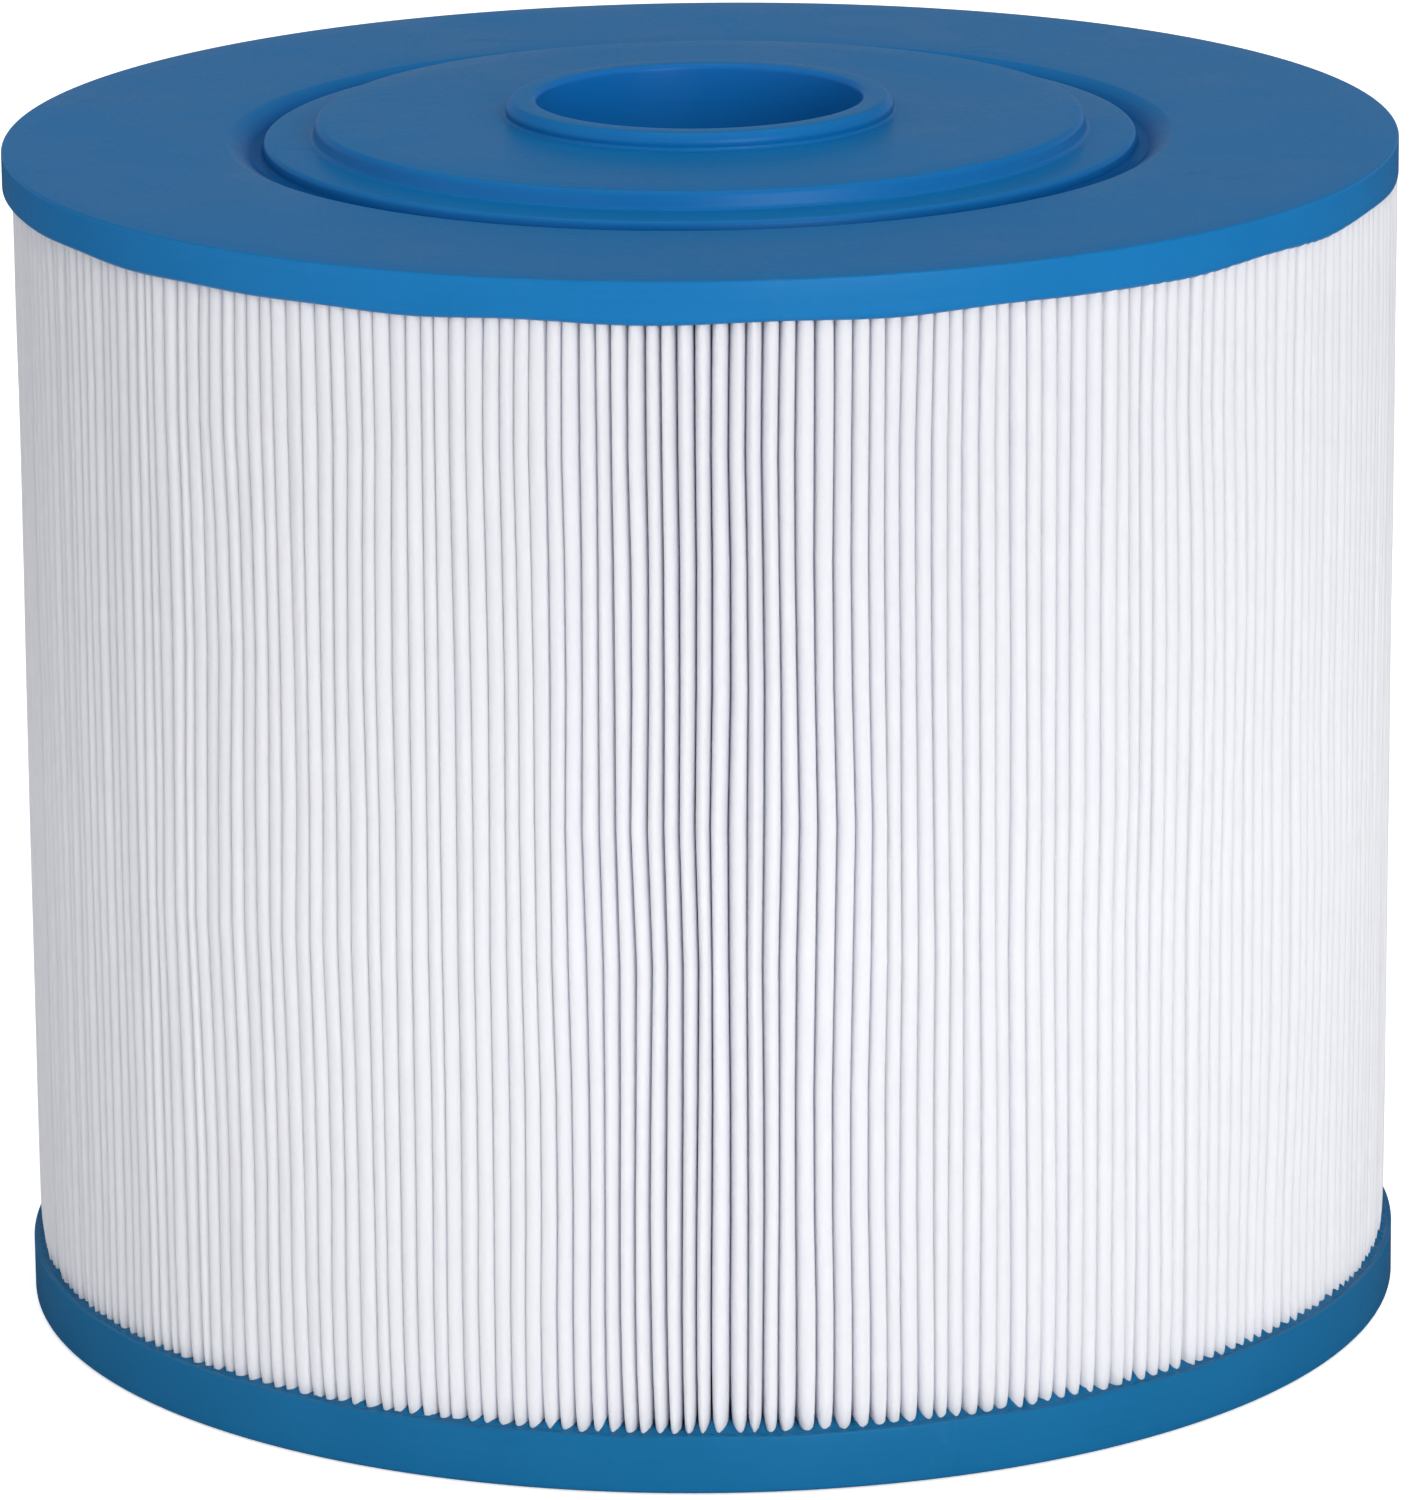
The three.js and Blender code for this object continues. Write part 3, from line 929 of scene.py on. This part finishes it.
mat_top = pu_material("cast_polyurethane_top", tint=(1.0, 1.0, 1.0), rough=0.34)
mat_bottom = pu_material("cast_polyurethane_bottom", tint=(0.80, 0.83, 0.74), rough=0.38)
mat_media = media_material("spunbond_media")
mat_core = plastic_material(
    "core_plastic", low=(0.74, 0.75, 0.76), high=(0.80, 0.80, 0.80), rough=0.42
)
mat_clip = plastic_material(
    "clip_plastic", low=(0.80, 0.80, 0.79), high=(0.87, 0.87, 0.86), rough=0.50
)

for piece, material, node, slot in [
    (top_cap, mat_top, "top_end_cap", "cap_top"),
    (bottom_cap, mat_bottom, "bottom_end_cap", "cap_bottom"),
    (media, mat_media, "pleated_media", "media"),
    (clip, mat_clip, "seam_clip", "seam"),
    (core_low, mat_core, "core_lower_section", "core"),
    (core_mid, mat_core, "core_middle_section", "core"),
    (core_top, mat_core, "core_upper_section", "core"),
    (disc_low, mat_core, "core_bottom_disc", "core"),
    (disc_top, mat_core, "core_top_disc", "core"),
]:
    piece.data.materials.append(material)
    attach(piece, "root")
    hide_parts(node)

# --------------------------------------------------------------------------------------------
# Floor, light and camera
# --------------------------------------------------------------------------------------------


def build_floor():
    """A pale sheet that glows a little to the camera and looks dark in reflections."""
    corners = [(-6000, -3000, 0), (6000, -3000, 0), (6000, 9000, 0), (-6000, 9000, 0)]
    floor = make_object("floor_sheet", corners, [(0, 1, 2, 3)], smooth=False)
    floor.location.z = -0.0002
    material = bpy.data.materials.new("pale_floor")
    nodes = Nodes(material)
    cloud = nodes.noise(nodes.position(), stretch=(3, 3, 3), detail=2.0, rough=0.5)
    base = nodes.mix(
        nodes.remap(cloud, span=(0.3, 0.7)), (0.885, 0.885, 0.89), colour=(0.90, 0.90, 0.905)
    )
    pale = nodes.shader("BsdfPrincipled", Base_Color=base, Roughness=0.9, Specular_IOR_Level=0.1)
    rays = nodes.node("LightPath").outputs
    glow_strength = 0.55
    glow = nodes.shader(
        "Emission", Color=(1, 1, 1, 1), Strength=nodes.times(rays["Is Camera Ray"], glow_strength)
    )
    dark = nodes.shader("BsdfDiffuse", Color=(0.10, 0.10, 0.10, 1))
    total = nodes.node("AddShader")
    nodes.put(total.inputs[0], nodes.mix_shader(rays["Is Glossy Ray"], pale, dark))
    nodes.put(total.inputs[1], glow)
    nodes.finish(total.outputs[0])
    floor.data.materials.append(material)


build_floor()


def area_light(name, at, size, power, colour=(1.0, 1.0, 1.0), aim_z=0.09):
    """A rectangular lamp, size (width, height), aimed at a point on the Z axis."""
    data = bpy.data.lights.new(name, "AREA")
    data.energy = power
    data.color = colour
    data.shape = "RECTANGLE"
    data.size, data.size_y = size
    lamp = bpy.data.objects.new(name, data)
    scene.collection.objects.link(lamp)
    lamp.location = at
    lamp.rotation_mode = "QUATERNION"
    lamp.rotation_quaternion = (Vector((0, 0, aim_z)) - Vector(at)).to_track_quat("-Z", "Y")
    return lamp


for lamp in (
    area_light("key_softbox", at=(0.72, -1.98, 0.60), size=(1.1, 1.3), power=37.0,
               colour=(1.0, 0.99, 0.98)),
    area_light("fill_softbox", at=(-2.10, -0.35, 0.35), size=(1.2, 1.0), power=7.5,
               colour=(0.985, 0.99, 1.0)),
    area_light("top_softbox", at=(0.0, 0.3, 1.9), size=(1.4, 1.4), power=9.5, aim_z=0.1),
):
    lamp.visible_glossy = False

# What the satin caps mirror: two dimmer panels, hidden from diffuse and transmission rays
for lamp in (
    area_light("key_reflection", at=(0.95, -1.85, 0.85), size=(1.1, 1.3), power=12.0),
    area_light("fill_reflection", at=(-1.35, -1.45, 0.70), size=(1.2, 1.3), power=4.0,
               colour=(0.97, 0.985, 1.0)),
):
    lamp.visible_diffuse = False
    lamp.visible_transmission = False


def build_world():
    """An even fill; reflections see a dimmer sky that darkens upwards."""
    world = bpy.data.worlds.new("studio")
    scene.world = world
    nodes = Nodes(world, "OutputWorld")
    height = nodes.xyz(nodes.node("TexCoord").outputs["Generated"])[2]
    sky_strength = nodes.remap(height, span=(0.15, 0.30), to=(0.40, 0.08))
    fill = nodes.shader("Background", Color=(0.968, 0.973, 1.0, 1), Strength=0.615)
    mirrored = nodes.shader("Background", Color=(0.94, 0.97, 1.0, 1), Strength=sky_strength)
    is_glossy = nodes.node("LightPath").outputs["Is Glossy Ray"]
    nodes.finish(nodes.mix_shader(is_glossy, fill, mirrored))


build_world()


def build_camera():
    data = bpy.data.cameras.new("camera")
    data.lens = 218.7127
    data.sensor_width = 36.0
    data.sensor_fit = "AUTO"
    data.clip_start, data.clip_end = 0.05, 50.0
    camera = bpy.data.objects.new("camera", data)
    scene.collection.objects.link(camera)
    place = (0.0, -1.386437, 0.465449)
    # radians: heading from +Y towards +X, tilt below the horizon, turn about the line of sight
    yaw, pitch, roll = -0.0003, 0.2677, 0.0120
    forward = Vector((
        math.sin(yaw) * math.cos(pitch), math.cos(yaw) * math.cos(pitch), -math.sin(pitch)
    ))
    level_right = Vector((math.cos(yaw), -math.sin(yaw), 0.0))
    level_down = forward.cross(level_right)
    right = math.cos(roll) * level_right + math.sin(roll) * level_down
    down = -math.sin(roll) * level_right + math.cos(roll) * level_down
    rotation = Matrix((right, -down, -forward)).transposed()
    camera.matrix_world = Matrix.Translation(place) @ rotation.to_4x4()
    scene.camera = camera


build_camera()

scene.cycles.max_bounces = 9
scene.cycles.diffuse_bounces = 9
scene.cycles.transmission_bounces = 9
scene.view_settings.view_transform = "Standard"
scene.view_settings.look = "None"
scene.view_settings.exposure = 0.0
scene.view_settings.gamma = 1.0
